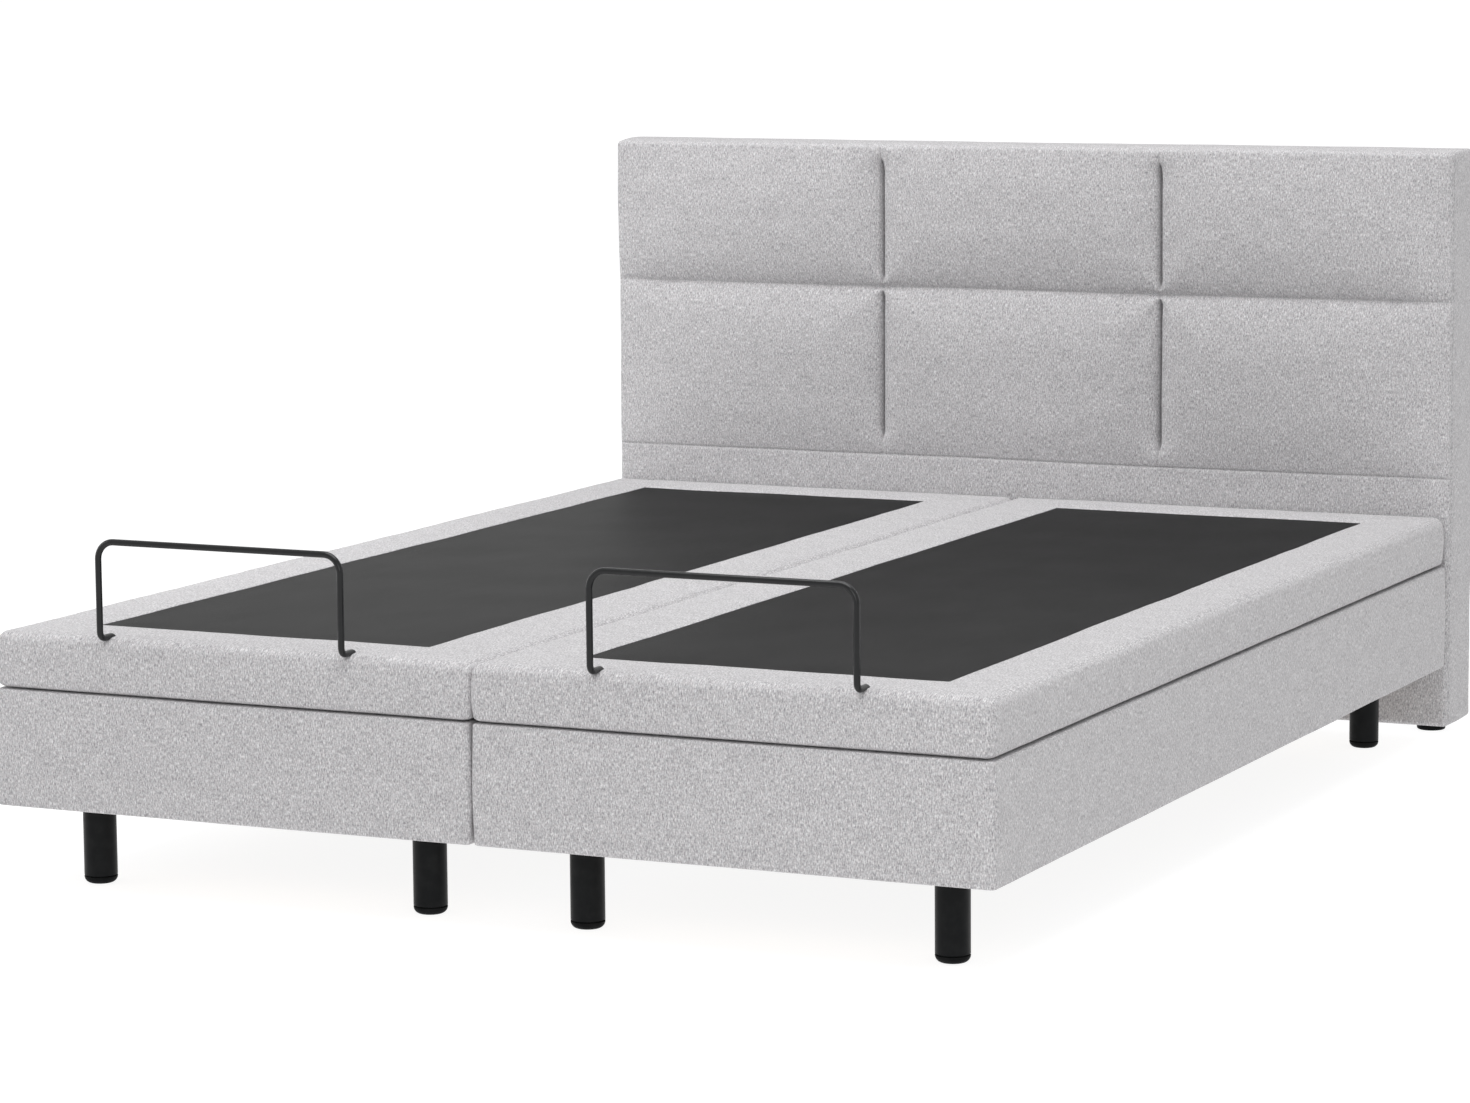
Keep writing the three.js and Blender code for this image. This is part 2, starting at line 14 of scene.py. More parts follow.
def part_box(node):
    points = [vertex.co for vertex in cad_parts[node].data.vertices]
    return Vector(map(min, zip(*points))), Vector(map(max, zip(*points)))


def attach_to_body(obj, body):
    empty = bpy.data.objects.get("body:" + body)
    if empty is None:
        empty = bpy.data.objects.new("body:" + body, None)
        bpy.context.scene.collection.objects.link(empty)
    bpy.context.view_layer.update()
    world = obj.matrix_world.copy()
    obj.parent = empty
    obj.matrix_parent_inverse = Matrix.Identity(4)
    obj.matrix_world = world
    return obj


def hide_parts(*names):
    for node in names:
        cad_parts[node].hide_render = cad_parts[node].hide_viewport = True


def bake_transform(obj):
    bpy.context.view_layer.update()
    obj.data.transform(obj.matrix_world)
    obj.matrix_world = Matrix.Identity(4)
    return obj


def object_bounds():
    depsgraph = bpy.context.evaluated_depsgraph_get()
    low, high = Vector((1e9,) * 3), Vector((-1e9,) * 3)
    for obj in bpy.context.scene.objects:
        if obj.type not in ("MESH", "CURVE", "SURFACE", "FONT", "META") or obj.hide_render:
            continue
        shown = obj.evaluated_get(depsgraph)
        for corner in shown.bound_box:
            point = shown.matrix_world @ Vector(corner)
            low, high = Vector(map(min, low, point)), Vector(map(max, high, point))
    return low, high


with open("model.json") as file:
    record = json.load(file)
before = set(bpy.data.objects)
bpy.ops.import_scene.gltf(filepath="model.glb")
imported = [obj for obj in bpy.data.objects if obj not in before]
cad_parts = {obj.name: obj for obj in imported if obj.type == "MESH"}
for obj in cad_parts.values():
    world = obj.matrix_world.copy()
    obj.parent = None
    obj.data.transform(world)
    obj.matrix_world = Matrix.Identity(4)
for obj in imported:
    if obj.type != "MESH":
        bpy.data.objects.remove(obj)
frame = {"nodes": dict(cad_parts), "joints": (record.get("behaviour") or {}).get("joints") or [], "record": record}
cad_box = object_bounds()

SIDES = ("left", "right")
CORNERS = ("foot_left", "foot_right", "head_left", "head_right")
JOINTS = {joint["name"]: joint for joint in frame["joints"]}


# ---- Camera, lights and stage ----
SENSOR_WIDTH = 36.0  # millimetres, as the lens
LENS = 116.17
# from the middle of the bed's width, from its foot end and from the floor
CAMERA_RIGHT, CAMERA_FRONT, CAMERA_UP = 3.164, 5.784, 1.438
# degrees: to the left, downwards and anticlockwise
CAMERA_YAW, CAMERA_PITCH, CAMERA_ROLL = 25.34, 7.7, -0.46


def add_camera():
    """A long lens a little above the bed, beyond its right foot corner."""
    low, high = cad_box
    lens = bpy.data.cameras.new("camera")
    lens.sensor_width = SENSOR_WIDTH
    lens.lens = LENS
    lens.clip_end = 60.0
    camera = bpy.data.objects.new("camera", lens)
    bpy.context.collection.objects.link(camera)
    middle = (low[0] + high[0]) / 2
    place = Vector((middle + CAMERA_RIGHT, low[1] - CAMERA_FRONT, low[2] + CAMERA_UP))
    yaw, pitch, roll = (math.radians(angle) for angle in (CAMERA_YAW, CAMERA_PITCH, CAMERA_ROLL))
    ahead = Vector((-math.sin(yaw) * math.cos(pitch), math.cos(yaw) * math.cos(pitch), -math.sin(pitch)))
    level = Vector((math.cos(yaw), math.sin(yaw), 0.0))
    up = level.cross(ahead)
    right = level * math.cos(roll) + up * math.sin(roll)
    above = up * math.cos(roll) - level * math.sin(roll)
    turn = Matrix((right, above, -ahead)).transposed().to_4x4()
    camera.matrix_world = Matrix.Translation(place) @ turn
    bpy.context.scene.camera = camera


def add_area_light(name, place, target, size, power, spread=180.0):
    data = bpy.data.lights.new(name, "AREA")
    data.shape = "DISK"
    data.size = size
    data.energy = power
    data.spread = math.radians(spread)
    light = bpy.data.objects.new(name, data)
    bpy.context.collection.objects.link(light)
    direction = Vector(target) - Vector(place)
    light.matrix_world = Matrix.Translation(place) @ direction.to_track_quat("-Z", "Y").to_matrix().to_4x4()
    light.visible_camera = False


def add_world(ambient, mirrored, background):
    """Even white light all round, with its own strength in reflections, and a white background."""
    world = bpy.data.worlds.new("studio")
    bpy.context.scene.world = world
    world.use_nodes = True
    nodes, links = world.node_tree.nodes, world.node_tree.links
    nodes.clear()
    out = nodes.new("ShaderNodeOutputWorld")
    rays = nodes.new("ShaderNodeLightPath")

    def sky(strength):
        shade = nodes.new("ShaderNodeBackground")
        shade.inputs["Color"].default_value = (1.0, 1.0, 1.0, 1.0)
        shade.inputs["Strength"].default_value = strength
        return shade.outputs[0]

    def choose(ray, otherwise, then):
        mix = nodes.new("ShaderNodeMixShader")
        links.new(rays.outputs[ray], mix.inputs[0])
        links.new(otherwise, mix.inputs[1])
        links.new(then, mix.inputs[2])
        return mix.outputs[0]

    light = choose("Is Glossy Ray", sky(ambient), sky(mirrored))
    links.new(choose("Is Camera Ray", light, sky(background)), out.inputs[0])


def add_floor():
    """A pale floor that gives back most of the light, so that only a breath of shadow stays under the bed."""
    half = 14.0
    mesh = bpy.data.meshes.new("floor")
    corners = [(-half, -half, 0), (half, -half, 0), (half, half, 0), (-half, half, 0)]
    mesh.from_pydata(corners, [], [(0, 1, 2, 3)])
    floor = bpy.data.objects.new("floor", mesh)
    bpy.context.collection.objects.link(floor)
    material = bpy.data.materials.new("pale_floor")
    material.use_nodes = True
    shader = material.node_tree.nodes["Principled BSDF"]
    shader.inputs["Base Color"].default_value = (0.25, 0.25, 0.25, 1.0)
    shader.inputs["Roughness"].default_value = 0.9
    shader.inputs["Specular IOR Level"].default_value = 0.0
    shader.inputs["Emission Color"].default_value = (1.0, 1.0, 1.0, 1.0)
    shader.inputs["Emission Strength"].default_value = 0.90
    mesh.materials.append(material)


# ---- Materials ----
class Graph:
    """Short calls for building a node material."""

    def __init__(self, name):
        self.material = bpy.data.materials.new(name)
        self.material.use_nodes = True
        self.nodes = self.material.node_tree.nodes
        self.links = self.material.node_tree.links
        self.shader = self.nodes["Principled BSDF"]

    def set(self, socket, value):
        if isinstance(value, bpy.types.NodeSocket):
            self.links.new(value, socket)
        else:
            socket.default_value = value

    def math(self, operation, a, b=0.5, c=0.5):
        made = self.nodes.new("ShaderNodeMath")
        made.operation = operation
        for socket, value in zip(made.inputs, (a, b, c)):
            self.set(socket, value)
        return made.outputs[0]

    def scaled(self, vector, scale):
        made = self.nodes.new("ShaderNodeVectorMath")
        made.operation = "MULTIPLY"
        self.set(made.inputs[0], vector)
        self.set(made.inputs[1], scale)
        return made.outputs[0]

    def noise(self, vector, detail=2.0, roughness=0.5):
        """Noise whose bumps are about 1 across, so that the vector's scale sets their size."""
        made = self.nodes.new("ShaderNodeTexNoise")
        self.set(made.inputs["Vector"], vector)
        made.inputs["Scale"].default_value = 1.0
        made.inputs["Detail"].default_value = detail
        made.inputs["Roughness"].default_value = roughness
        return made.outputs["Fac"]

    def ramp(self, factor, stops):
        made = self.nodes.new("ShaderNodeValToRGB")
        elements = made.color_ramp.elements
        while len(elements) < len(stops):
            elements.new(0.5)
        for element, (position, color) in zip(elements, stops):
            element.position = position
            element.color = (*color, 1.0)
        self.set(made.inputs[0], factor)
        return made.outputs["Color"]

    def mix(self, factor, a, b, blend="MIX"):
        made = self.nodes.new("ShaderNodeMix")
        made.data_type = "RGBA"
        made.blend_type = blend
        self.set(made.inputs[0], factor)
        self.set(made.inputs[6], a)
        self.set(made.inputs[7], b)
        return made.outputs[2]

    def bump(self, height, distance, strength=1.0, normal=None):
        made = self.nodes.new("ShaderNodeBump")
        made.inputs["Strength"].default_value = strength
        made.inputs["Distance"].default_value = distance
        self.set(made.inputs["Height"], height)
        if normal is not None:
            self.set(made.inputs["Normal"], normal)
        return made.outputs[0]

    def finish(self, **inputs):
        for key, value in inputs.items():
            self.set(self.shader.inputs[key.replace("_", " ")], value)
        return self.material


def grey(value):
    return (value, value, value)


def weave_height(graph, cloth, pitch):
    """Yarns that pass over and under each other: 1 on top of a yarn, 0 between."""
    turns = graph.scaled(cloth, (math.pi / pitch, math.pi / pitch, 0.0))
    split = graph.nodes.new("ShaderNodeSeparateXYZ")
    graph.set(split.inputs[0], turns)
    across = graph.math("ABSOLUTE", graph.math("SINE", split.outputs[0]))
    along = graph.math("ABSOLUTE", graph.math("SINE", split.outputs[1]))
    return graph.math("MULTIPLY", across, along)


def melange_fabric():
    """Light grey weave whose yarns are spun from white, grey and a few darker fibres."""
    graph = Graph("melange_fabric")
    cloth = graph.nodes.new("ShaderNodeUVMap").outputs[0]
    warp = graph.noise(graph.scaled(cloth, (760.0, 170.0, 0.0)), detail=1.0)
    weft = graph.noise(graph.scaled(cloth, (260.0, 760.0, 3.0)), detail=1.0)
    slubs = graph.noise(graph.scaled(cloth, (480.0, 330.0, 0.0)), detail=1.0)
    streaks = graph.noise(graph.scaled(cloth, (300.0, 50.0, 5.0)), detail=2.0)
    clouds = graph.noise(graph.scaled(cloth, (30.0, 24.0, 0.0)), detail=2.0)
    yarns = graph.math("MULTIPLY_ADD", warp, 0.42, graph.math("MULTIPLY", weft, 0.12))
    mixed = graph.math("MULTIPLY_ADD", slubs, 0.24, yarns)
    broad = graph.math("MULTIPLY_ADD", clouds, 0.05, graph.math("MULTIPLY", streaks, 0.17))
    mottle = graph.math("ADD", mixed, broad)
    color = graph.ramp(mottle, [
        (0.376, (0.262, 0.254, 0.265)), (0.443, (0.378, 0.369, 0.380)), (0.500, (0.478, 0.468, 0.478)),
        (0.557, (0.595, 0.586, 0.594)), (0.624, (0.735, 0.729, 0.734))])
    tint = graph.noise(graph.scaled(cloth, (150.0, 210.0, 7.0)), detail=1.0)
    hue = graph.ramp(tint, [(0.38, (0.980, 0.995, 1.0)), (0.62, (1.0, 0.985, 0.985))])
    color = graph.mix(0.75, color, hue, "MULTIPLY")
    weave = weave_height(graph, cloth, 0.0019)
    fuzz = graph.math("MULTIPLY_ADD", slubs, 0.8, weave)
    normal = graph.bump(fuzz, 0.0006, 0.45)
    return graph.finish(Base_Color=color, Roughness=0.92, Specular_IOR_Level=0.18, Sheen_Weight=0.22,
                        Sheen_Roughness=0.45, Normal=normal)


def spunbond():
    """Black non-woven cloth with a fine embossed grid of bonding points."""
    graph = Graph("black_nonwoven")
    cloth = graph.nodes.new("ShaderNodeUVMap").outputs[0]
    fibres = graph.noise(graph.scaled(cloth, (420.0, 150.0, 0.0)), detail=2.0)
    clouds = graph.noise(graph.scaled(cloth, (9.0, 6.0, 0.0)), detail=4.0, roughness=0.6)
    shade = graph.math("MULTIPLY_ADD", fibres, 0.55, graph.math("MULTIPLY", clouds, 0.45))
    color = graph.ramp(shade, [(0.40, grey(0.0065)), (0.50, grey(0.0090)), (0.62, grey(0.0125))])
    dots = weave_height(graph, cloth, 0.0030)
    ripple = graph.noise(graph.scaled(cloth, (14.0, 5.0, 0.0)), detail=2.0)
    normal = graph.bump(ripple, 0.002, 0.5, graph.bump(dots, 0.0004, 0.5))
    return graph.finish(Base_Color=color, Roughness=0.45, Specular_IOR_Level=0.037, Normal=normal)


def coated(name, color, wear, roughness, shine, grain):
    """A smooth coat with a fine orange-peel grain and a few lighter rubbed patches."""
    graph = Graph(name)
    place = graph.nodes.new("ShaderNodeTexCoord").outputs["Object"]
    patches = graph.noise(graph.scaled(place, (60.0, 60.0, 60.0)), detail=4.0)
    tone = graph.ramp(patches, [(0.42, color), (0.72, wear)])
    gloss = graph.noise(graph.scaled(place, (140.0, 140.0, 140.0)), detail=2.0)
    rough = graph.math("MULTIPLY_ADD", gloss, 0.16, roughness - 0.08)
    peel = graph.noise(graph.scaled(place, (grain, grain, grain)), detail=1.0)
    normal = graph.bump(peel, 0.00025, 0.35)
    return graph.finish(Base_Color=tone, Roughness=rough, Specular_IOR_Level=shine, Normal=normal)


def timber():
    """Planed softwood and board: long grain with darker rings."""
    graph = Graph("timber")
    place = graph.nodes.new("ShaderNodeTexCoord").outputs["Object"]
    rings = graph.noise(graph.scaled(place, (60.0, 3.0, 60.0)), detail=4.0, roughness=0.6)
    pores = graph.noise(graph.scaled(place, (700.0, 20.0, 700.0)), detail=1.0)
    color = graph.ramp(rings, [
        (0.36, (0.36, 0.235, 0.125)), (0.5, (0.50, 0.355, 0.215)), (0.64, (0.62, 0.47, 0.31))])
    darker = graph.ramp(pores, [(0.3, grey(0.78)), (0.6, grey(1.0))])
    normal = graph.bump(rings, 0.0006, 0.4)
    return graph.finish(Base_Color=graph.mix(1.0, color, darker, "MULTIPLY"), Roughness=0.72, Normal=normal)


def zinc():
    """Zinc-plated steel with a faint spangle and drawn scratches."""
    graph = Graph("zinc_steel")
    place = graph.nodes.new("ShaderNodeTexCoord").outputs["Object"]
    cells = graph.nodes.new("ShaderNodeTexVoronoi")
    graph.set(cells.inputs["Vector"], graph.scaled(place, (190.0, 190.0, 190.0)))
    color = graph.mix(0.18, (0.47, 0.48, 0.50, 1.0), cells.outputs["Color"])
    lines = graph.noise(graph.scaled(place, (30.0, 900.0, 900.0)), detail=2.0)
    rough = graph.math("MULTIPLY_ADD", lines, 0.3, 0.22)
    return graph.finish(Base_Color=color, Metallic=0.95, Roughness=rough, Normal=graph.bump(lines, 0.0002, 0.3))


MATERIALS = {
    "fabric": melange_fabric(),
    "nonwoven": spunbond(),
    "black_metal": coated("black_powder_coat", (0.0050, 0.0056, 0.0062), (0.009, 0.0096, 0.0102),
                          0.36, 0.10, 900.0),
    "black_gloss": coated("black_bar_coat", (0.0040, 0.0044, 0.0050), (0.007, 0.0075, 0.0080),
                          0.20, 0.32, 700.0),
    "black_plastic": coated("black_plastic", (0.0060, 0.0064, 0.0068), (0.011, 0.0114, 0.0118),
                            0.50, 0.045, 1400.0),
    "white_plastic": coated("natural_plastic", (0.66, 0.65, 0.61), (0.72, 0.71, 0.68), 0.42, 0.5, 1100.0),
    "wood": timber(),
    "steel": zinc(),
}
SLOTS = {part["node"]: part["material_slot"] for part in frame["record"]["subparts"]}


# ---- Mesh helpers ----
def ease(low, high, value):
    """0 below low, 1 above high, and smooth between."""
    t = np.clip((value - low) / (high - low), 0.0, 1.0)
    return t * t * (3.0 - 2.0 * t)


def dent(distance, width):
    """1 at a line and fading out over about twice the width."""
    return np.exp(-((distance / width) ** 2))


def ripple(points, size, seed):
    """Smooth noise from -1 to 1 with bumps of about that size."""
    offset = Vector((seed * 7.3, seed * 3.1, seed * 5.7))
    return np.array([noise.noise(Vector(p) / size + offset) for p in points])


def edge_steps(radius, count):
    """Distances from a face that give a rounded edge evenly spaced points."""
    return [radius * (1.0 - math.tan(math.pi / 4 * (1.0 - k / count))) for k in range(count + 1)]


def line_steps(place, widths=(0.0, 0.0012, 0.0026, 0.0044, 0.007, 0.011, 0.017, 0.026)):
    """Places close together on both sides of a crease."""
    return [place + side * width for width in widths for side in (-1, 1)]


def stations(low, high, step, edges=(None, None), extra=()):
    """Sorted places from low to high no further apart than step, finer at rounded edges and extra lines."""
    fixed = {low, high, *(e for e in extra if low < e < high)}
    if edges[0]:
        fixed |= {low + d for d in edge_steps(edges[0], 5)}
    if edges[1]:
        fixed |= {high - d for d in edge_steps(edges[1], 5)}
    fixed = sorted(fixed)
    kept = [fixed[0]]
    for place in fixed[1:]:
        if place - kept[-1] > 2e-4:
            kept.append(place)
    kept[-1] = high
    places = []
    for a, b in zip(kept, kept[1:]):
        count = max(1, math.ceil((b - a) / step))
        places += [a + (b - a) * k / count for k in range(count)]
    return np.array(places + [high])


def block_surface(xs, ys, zs):
    """Points and quads of the outside of a block of cells, faces pointing out."""
    nx, ny, nz = len(xs) - 1, len(ys) - 1, len(zs) - 1
    index, points, faces = {}, [], []

    def corner(i, j, k):
        key = (i, j, k)
        if key not in index:
            index[key] = len(points)
            points.append((xs[i], ys[j], zs[k]))
        return index[key]

    for i in range(nx):
        for j in range(ny):
            faces.append((corner(i, j, 0), corner(i, j + 1, 0), corner(i + 1, j + 1, 0), corner(i + 1, j, 0)))
            faces.append((corner(i, j, nz), corner(i + 1, j, nz),
                          corner(i + 1, j + 1, nz), corner(i, j + 1, nz)))
    for i in range(nx):
        for k in range(nz):
            faces.append((corner(i, 0, k), corner(i + 1, 0, k), corner(i + 1, 0, k + 1), corner(i, 0, k + 1)))
            faces.append((corner(i, ny, k), corner(i, ny, k + 1),
                          corner(i + 1, ny, k + 1), corner(i + 1, ny, k)))
    for j in range(ny):
        for k in range(nz):
            faces.append((corner(0, j, k), corner(0, j, k + 1), corner(0, j + 1, k + 1), corner(0, j + 1, k)))
            faces.append((corner(nx, j, k), corner(nx, j + 1, k),
                          corner(nx, j + 1, k + 1), corner(nx, j, k + 1)))
    return np.array(points), faces


def rounded(points, low, high, radii):
    """The block's points moved onto rounded edges. radii holds a pair for each axis: low side, high side."""
    inner, lean = points.copy(), np.zeros_like(points)
    for axis in range(3):
        at_low, at_high = radii[axis]
        value = points[:, axis]
        if at_low:
            start = low[axis] + at_low
            inside = value < start
            lean[inside, axis] = (value[inside] - start) / at_low
            inner[inside, axis] = start
        if at_high:
            end = high[axis] - at_high
            inside = value > end
            lean[inside, axis] = (value[inside] - end) / at_high
            inner[inside, axis] = end
    length = np.linalg.norm(lean, axis=1)
    largest = np.abs(lean).max(axis=1)
    factor = np.where(length > 1e-9, largest / np.maximum(length, 1e-9), 0.0)
    size = np.zeros_like(points)
    for axis in range(3):
        at_low, at_high = radii[axis]
        size[:, axis] = np.where(lean[:, axis] < 0, at_low or 0.0, at_high or 0.0)
    return inner + lean * factor[:, None] * size


def add_piece(name, points, faces, *materials, sharp=50):
    mesh = bpy.data.meshes.new(name)
    mesh.from_pydata([tuple(p) for p in points], [], faces)
    mesh.validate()
    mesh.update()
    for material in materials:
        mesh.materials.append(material)
    mesh.polygons.foreach_set("use_smooth", [True] * len(mesh.polygons))
    mesh.set_sharp_from_angle(angle=math.radians(sharp))
    piece = bpy.data.objects.new(name, mesh)
    bpy.context.collection.objects.link(piece)
    return piece


def map_cloth(piece, rest=None):
    """A UV map in metres, laid on from the side that each face looks to."""
    mesh = piece.data
    layer = mesh.uv_layers.new(name="cloth")
    rest = np.array([v.co for v in mesh.vertices]) if rest is None else rest
    count = len(mesh.loops)
    corner = np.empty(count, dtype=np.int32)
    mesh.loops.foreach_get("vertex_index", corner)
    normals = np.empty(len(mesh.polygons) * 3)
    mesh.polygons.foreach_get("normal", normals)
    totals = np.empty(len(mesh.polygons), dtype=np.int32)
    mesh.polygons.foreach_get("loop_total", totals)
    facing = np.repeat(np.abs(normals.reshape(-1, 3)).argmax(axis=1), totals)
    place = rest[corner]
    u = np.where(facing == 0, place[:, 1], place[:, 0])
    v = np.where(facing == 2, place[:, 1], place[:, 2])
    shift = facing * 3.7
    layer.data.foreach_set("uv", np.stack([u + shift, v + shift], axis=1).ravel())


def inflate(piece, held, most, pressure=4.0, steps=14):
    """Puffs the cover out between its held points with a cloth simulation, by at most the given distance."""
    mesh = piece.data
    pins = piece.vertex_groups.new(name="held")
    pins.add(np.flatnonzero(held).tolist(), 1.0, "REPLACE")
    air = piece.modifiers.new("air", "CLOTH")
    air.settings.quality = 6
    air.settings.mass = 0.3
    air.settings.use_pressure = True
    air.settings.uniform_pressure_force = pressure
    air.settings.vertex_group_mass = "held"
    air.settings.effector_weights.gravity = 0.0
    air.collision_settings.use_collision = False
    air.point_cache.frame_end = steps
    for step in range(1, steps + 1):
        bpy.context.scene.frame_set(step)
    before, after = np.empty(len(mesh.vertices) * 3), np.empty(len(mesh.vertices) * 3)
    puffed = piece.evaluated_get(bpy.context.evaluated_depsgraph_get()).data
    puffed.vertices.foreach_get("co", after)
    mesh.vertices.foreach_get("co", before)
    piece.modifiers.remove(air)
    piece.vertex_groups.remove(pins)
    bpy.context.scene.frame_set(1)
    shift = (after - before).reshape(-1, 3)
    reach = np.linalg.norm(shift, axis=1)
    shift *= np.minimum(most / np.percentile(reach, 98), most / np.maximum(reach, 1e-9))[:, None]
    mesh.vertices.foreach_set("co", (before + shift.ravel()))
    mesh.update()


# ---- Deck ----
INLAY_INNER = 0.124  # fabric border beside the black panel, towards the other base
INLAY_OUTER = 0.110
INLAY_FOOT = 0.112
INLAY_HEAD = 0.117
INLAY_DEPTH = 0.0022  # the panel lies this much below the border
DECK_EDGE = 0.014
OUTER_INSET = 0.005  # the deck stands back from the plinth's outer side and foot face by this much
FOOT_INSET = 0.004
SIDE_BULGE = 0.004
FOLD = 0.034  # half the length of cover that bends at a fold


class Deck:
    """One base's deck: its places, worked out from the frame."""

    def __init__(self, side):
        self.side = side
        self.low = np.minimum(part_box(f"{side}_calf_board")[0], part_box(f"{side}_calf_pad")[0])
        self.high = np.maximum(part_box(f"{side}_head_board")[1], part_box(f"{side}_head_pad")[1])
        self.low[0], self.high[0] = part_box(f"{side}_seat_pad")[0][0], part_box(f"{side}_seat_pad")[1][0]
        self.low[1] += FOOT_INSET
        self.low[0] += OUTER_INSET if side == "left" else 0.0
        self.high[0] -= OUTER_INSET if side == "right" else 0.0
        self.centre = (self.low[0] + self.high[0]) / 2
        self.half = (self.high[0] - self.low[0]) / 2
        self.head = JOINTS[f"{side}_head_tilt"]["pos_m"][1]
        self.thigh = JOINTS[f"{side}_thigh_tilt"]["pos_m"][1]
        self.knee = JOINTS[f"{side}_calf_tilt"]["pos_m"][1]
        self.mid_seat = (self.head + self.thigh) / 2
        self.mid_thigh = (self.thigh + self.knee) / 2
        self.seed = 1.0 if side == "left" else 2.0

    def inlay(self):
        low, high = (INLAY_OUTER, INLAY_INNER) if self.side == "left" else (INLAY_INNER, INLAY_OUTER)
        return (self.low[0] + low, self.high[0] - high, self.low[1] + INLAY_FOOT, self.high[1] - INLAY_HEAD)

    def top_height(self, x, y):
        """How far the cover's top stands above its flat height."""
        x0, x1, y0, y1 = self.inlay()
        inside = np.minimum(np.minimum(x - x0, x1 - x), np.minimum(y - y0, y1 - y))
        outside = np.minimum(np.minimum(x - self.low[0], self.high[0] - x),
                             np.minimum(y - self.low[1], self.high[1] - y))
        border = 0.0022 * ease(0.0, 0.05, outside) * (1.0 - ease(-0.05, 0.0, inside))
        sunk = INLAY_DEPTH * ease(-0.0016, 0.0016, inside)
        return border - sunk

    def wander(self, points):
        """Small sideways drift of the panel's edges, as hand-stapled covers have."""
        drift = 0.0028 * ripple(points * np.array([0.2, 1.0, 0.2]), 0.30, self.seed + 10)
        shift = np.zeros_like(points)
        x0, x1, _, _ = self.inlay()
        shift[:, 0] = drift * (1.0 - ease(0.02, 0.10, np.minimum(points[:, 0] - x0, x1 - points[:, 0])))
        shift[:, 0] *= ease(0.0, 0.06, self.half - np.abs(points[:, 0] - self.centre))
        return shift

    def softened(self, points, rest):
        """Bulged sides, crowned border and a slight unevenness all over."""
        height = (rest[:, 2] - self.low[2]) / (self.high[2] - self.low[2])
        belly = np.sin(np.pi * np.clip(height * 0.92 + 0.04, 0.0, 1.0))
        across = (rest[:, 0] - self.centre) / self.half
        points[:, 0] += SIDE_BULGE * belly * np.sign(across) * ease(0.955, 1.0, np.abs(across))
        for end, sign in ((self.low[1], -1.0), (self.high[1], 1.0)):
            points[:, 1] += sign * SIDE_BULGE * belly * ease(0.03, 0.0, np.abs(rest[:, 1] - end))
        top = ease(0.80, 1.0, height)
        points[:, 2] += top * self.top_height(points[:, 0], points[:, 1])
        uneven = ripple(rest, 0.16, self.seed)
        fine = ripple(rest, 0.055, self.seed + 3)
        points[:, 2] += top * (0.0011 * uneven + 0.0004 * fine)
        side = ease(0.95, 1.0, np.abs(across))
        points[:, 0] += side * np.sign(across) * (0.0016 * uneven + 0.0006 * fine)
        ends = np.maximum(ease(0.02, 0.0, rest[:, 1] - self.low[1]),
                          ease(0.02, 0.0, self.high[1] - rest[:, 1]))
        points[:, 1] += ends * (0.0016 * uneven + 0.0006 * fine)
        return points + top[:, None] * self.wander(rest)


def deck_spans(deck):
    """Cover pieces from foot to head: name, start, end, near body, far body, fold place, direction."""
    side = deck.side
    return [
        ("calf", deck.low[1], deck.mid_thigh, f"{side}_thigh", f"{side}_calf", deck.knee, -1),
        ("thigh", deck.mid_thigh, deck.mid_seat, "bed", f"{side}_thigh", deck.thigh, -1),
        ("head", deck.mid_seat, deck.high[1], "bed", f"{side}_head", deck.head, 1),
    ]


def add_deck_cover(deck, span):
    name, start, end, near, far, fold, direction = span
    x0, x1, y0, y1 = deck.inlay()
    first, last = start == deck.low[1], end == deck.high[1]
    round_start, round_end = (DECK_EDGE if first else None), (DECK_EDGE if last else None)
    creases = [place for edge in (y0, y1) for place in line_steps(edge, (0.0, 0.0009, 0.0018, 0.006, 0.018))]
    fold_lines = [fold + FOLD * k / 8 for k in range(-9, 10)]
    ys = stations(start, end, 0.022, (round_start, round_end), creases + fold_lines)
    sides = [place for edge in (x0, x1) for place in line_steps(edge, (0.0, 0.0009, 0.0018, 0.006, 0.018))]
    xs = stations(deck.low[0], deck.high[0], 0.022, (DECK_EDGE, DECK_EDGE), sides)
    bottom_edge = 0.007
    zs = stations(deck.low[2], deck.high[2], 0.008, (bottom_edge, DECK_EDGE))
    rest, faces = block_surface(xs, ys, zs)
    radii = ((DECK_EDGE, DECK_EDGE), (round_start, round_end), (bottom_edge, DECK_EDGE))
    low = np.array([deck.low[0], start, deck.low[2]])
    high = np.array([deck.high[0], end, deck.high[2]])
    points = deck.softened(rounded(rest, low, high, radii), rest)
    cover = add_piece(f"{deck.side}_{name}_cover", points, faces, MATERIALS["fabric"], MATERIALS["nonwoven"])
    floor = deck.low[2] + 0.0008
    margin = DECK_EDGE + 0.012
    for face in cover.data.polygons:
        centre = face.center
        inside = abs(centre.x - deck.centre) < deck.half - margin
        inside &= deck.low[1] + margin < centre.y < deck.high[1] - margin
        face.material_index = 1 if centre.z < floor and face.normal.z < -0.9 and inside else 0
    map_cloth(cover)
    attach(cover)
    return cover


def attach(piece):
    """Bakes the piece's place in the world into its mesh."""
    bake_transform(piece)


